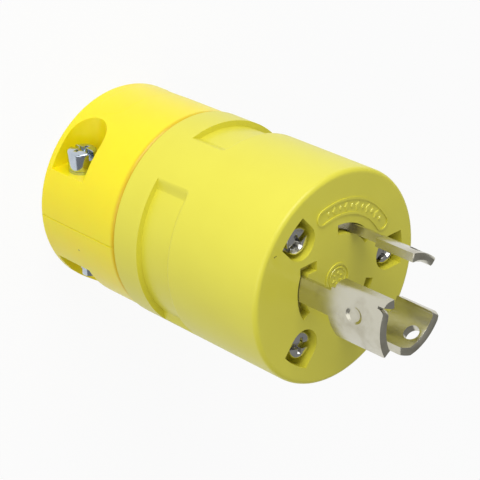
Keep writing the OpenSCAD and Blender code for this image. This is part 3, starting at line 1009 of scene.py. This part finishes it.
class PLUG_OT_screws(bpy.types.Operator):
    """Face screws and clamp screws, with their driving recesses and threads"""

    bl_idname = "plug.screws"
    bl_label = "Screws"

    def execute(self, context):
        sizes, tree = context.scene.plug_sizes, screw_tree()
        face_places = []
        for i, angle in enumerate(SCREW_ANGLES):
            a = math.radians(angle)
            point = Vector((math.cos(a), math.sin(a), 0)) * SCREW_RADIUS * MM
            point.z = FACE_SCREW_SEAT * MM
            turned = a + math.radians(FACE_SCREW_TURN[0] + FACE_SCREW_TURN[1] * i)
            face_places.append((point, (0, 0, turned)))
        screw_set(
            "face_screw_set", tree, face_places, sizes.face_head_d,
            (FACE_SCREW_SEAT - FACE_SCREW_END) * MM, material("screw_nickelled_steel"),
            "face_screws",
        )
        # The clamp screws lie along Y, with their heads on the +Y side
        lying = Matrix.Rotation(math.radians(-90), 3, "X")
        clamp_places = []
        for side, degrees in zip((-1, 1), CLAMP_SCREW_TURNS):
            turned = lying @ Matrix.Rotation(math.radians(degrees), 3, "Z")
            point = Vector((side * CLAMP_SCREW_X, CLAMP_SCREW_SEAT, CLAMP_SCREW_Z)) * MM
            clamp_places.append((point, tuple(turned.to_euler())))
        screw_set(
            "clamp_screw_set", tree, clamp_places, sizes.clamp_head_d,
            (CLAMP_SCREW_SEAT - CLAMP_SCREW_END) * MM, material("screw_bright_zinc"),
            "clamp_screws",
        )
        return {"FINISHED"}


class PLUG_OT_fittings(bpy.types.Operator):
    """Finishes for the solids that show as they are: carrier, terminals, nuts and washers"""

    bl_idname = "plug.fittings"
    bl_label = "Carrier and Fittings"

    def execute(self, context):
        finishes = {
            "contact_carrier": "carrier_filled_nylon",
            "ground_clamp_plate": "screw_bright_zinc",
            "neutral_clamp_plate": "screw_bright_zinc",
            "hot_clamp_plate": "terminal_plain_brass",
            "ground_terminal_screw": "terminal_green_zinc",
            "neutral_terminal_screw": "screw_nickelled_steel",
            "hot_terminal_screw": "terminal_plain_brass",
            "carrier_nuts": "screw_bright_zinc",
            "clamp_washers": "screw_bright_zinc",
            "clamp_nuts": "screw_bright_zinc",
        }
        for name, finish in finishes.items():
            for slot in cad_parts[name].material_slots:
                slot.link = "OBJECT"
                slot.material = material(finish)
        return {"FINISHED"}


def area_lamp(name, at, size, power):
    """A soft rectangular lamp that shines on the plug."""
    data = bpy.data.lights.new(name, "AREA")
    data.shape = "RECTANGLE"
    data.size, data.size_y = size
    data.energy = power
    made = bpy.data.objects.new(name, data)
    made.location = at
    made.rotation_euler = (Vector(LAMP_AIM) - Vector(at)).to_track_quat("-Z", "Y").to_euler()
    bpy.context.collection.objects.link(made)


def white_floor():
    """A wide sheet of white paper. It looks white to the camera and in reflections, and
    keeps the plug's shadow."""
    shape, half = bmesh.new(), 3.0
    shape.faces.new([
        shape.verts.new((x * half, y * half, 0)) for x, y in ((-1, -1), (1, -1), (1, 1), (-1, 1))
    ])
    floor = object_from(shape, "floor")
    paper = bpy.data.materials.new("floor_white_paper")
    paper.use_nodes = True
    tree = paper.node_tree
    tree.nodes.clear()
    matt = node(tree, "ShaderNodeBsdfDiffuse", inputs={"Color": (0.86, 0.86, 0.86, 1)})
    glow = node(tree, "ShaderNodeEmission", inputs={"Color": (1, 1, 1, 1), "Strength": 1.0})
    ray = node(tree, "ShaderNodeLightPath").outputs
    seen = node(
        tree, "ShaderNodeMath", {"operation": "MAXIMUM"},
        {0: ray["Is Camera Ray"], 1: ray["Is Glossy Ray"]},
    )
    share = node(tree, "ShaderNodeMath", {"operation": "MULTIPLY"}, {0: seen, 1: FLOOR_GLOW})
    both = node(tree, "ShaderNodeMixShader", inputs={0: share, 1: matt, 2: glow})
    node(tree, "ShaderNodeOutputMaterial", inputs={"Surface": both})
    only_finish(floor, paper)


def soft_world(scene):
    """Even light from all round, with a plain white background."""
    world = bpy.data.worlds.new("soft_white")
    scene.world = world
    world.use_nodes = True
    tree = world.node_tree
    tree.nodes.clear()
    ray = node(tree, "ShaderNodeLightPath").outputs
    seen = node(
        tree, "ShaderNodeMath", {"operation": "MAXIMUM"},
        {0: ray["Is Camera Ray"], 1: ray["Is Transmission Ray"]},
    )
    level = node(
        tree, "ShaderNodeMapRange",
        inputs={"Value": ray["Is Glossy Ray"], "To Min": SKY_LIGHT, "To Max": SKY_REFLECTED},
    )
    soft = node(tree, "ShaderNodeBackground", inputs={"Color": (1, 1, 1, 1), "Strength": level})
    white = node(tree, "ShaderNodeBackground", inputs={"Color": (1, 1, 1, 1), "Strength": 1.0})
    both = node(tree, "ShaderNodeMixShader", inputs={0: seen, 1: soft, 2: white})
    node(tree, "ShaderNodeOutputWorld", inputs={"Surface": both})


class PLUG_OT_stage(bpy.types.Operator):
    """Plain pale floor, soft lamps and the camera"""

    bl_idname = "plug.stage"
    bl_label = "Stage"

    def execute(self, context):
        scene = context.scene
        white_floor()
        soft_world(scene)
        # Each lamp's place and size in metres, and its power in watts
        power = scene.plug_sizes.lamp
        area_lamp("key_lamp", (-0.10, 0.55, 0.24), (0.45, 0.3), 2.15 * power)
        area_lamp("side_lamp", (-0.45, 0.10, 0.20), (0.35, 0.35), 0.5 * power)

        lens = bpy.data.cameras.new("camera")
        lens.lens = CAMERA_LENS
        lens.sensor_width = 36.0
        lens.clip_start = 0.01
        camera = bpy.data.objects.new("camera", lens)
        turn = Matrix((
            Vector(CAMERA_RIGHT), -Vector(CAMERA_DOWN), -Vector(CAMERA_AHEAD)
        )).transposed()
        camera.matrix_world = Matrix.Translation(CAMERA_PLACE) @ turn.to_4x4()
        context.collection.objects.link(camera)
        scene.camera = camera
        scene.view_settings.view_transform = "Standard"
        return {"FINISHED"}


class PLUG_PT_panel(bpy.types.Panel):
    """Lists the plug's pieces, sizes and colours"""

    bl_label = "Locking Power Plug"
    bl_idname = "PLUG_PT_panel"
    bl_space_type = "VIEW_3D"
    bl_region_type = "UI"
    bl_category = "Plug"

    def draw(self, context):
        for cls in OPERATORS:
            self.layout.operator(cls.bl_idname)
        for group in (context.scene.plug_sizes, context.scene.plug_colours):
            box = self.layout.box()
            for name in group.bl_rna.properties.keys():
                if name not in ("rna_type", "name"):
                    box.prop(group, name)


OPERATORS = (
    PLUG_OT_stage, PLUG_OT_housing, PLUG_OT_marks, PLUG_OT_clamp, PLUG_OT_blades,
    PLUG_OT_screws, PLUG_OT_fittings,
)
CLASSES = (PlugColours, PlugSizes) + OPERATORS + (PLUG_PT_panel,)


def register():
    for cls in CLASSES:
        bpy.utils.register_class(cls)
    bpy.types.Scene.plug_colours = PointerProperty(type=PlugColours)
    bpy.types.Scene.plug_sizes = PointerProperty(type=PlugSizes)


def unregister():
    del bpy.types.Scene.plug_sizes
    del bpy.types.Scene.plug_colours
    for cls in reversed(CLASSES):
        bpy.utils.unregister_class(cls)


def main():
    register()
    bpy.ops.plug.stage()
    bpy.ops.plug.housing()
    bpy.ops.plug.marks()
    bpy.ops.plug.clamp()
    bpy.ops.plug.blades()
    bpy.ops.plug.screws()
    bpy.ops.plug.fittings()


if __name__ == "__main__":
    main()
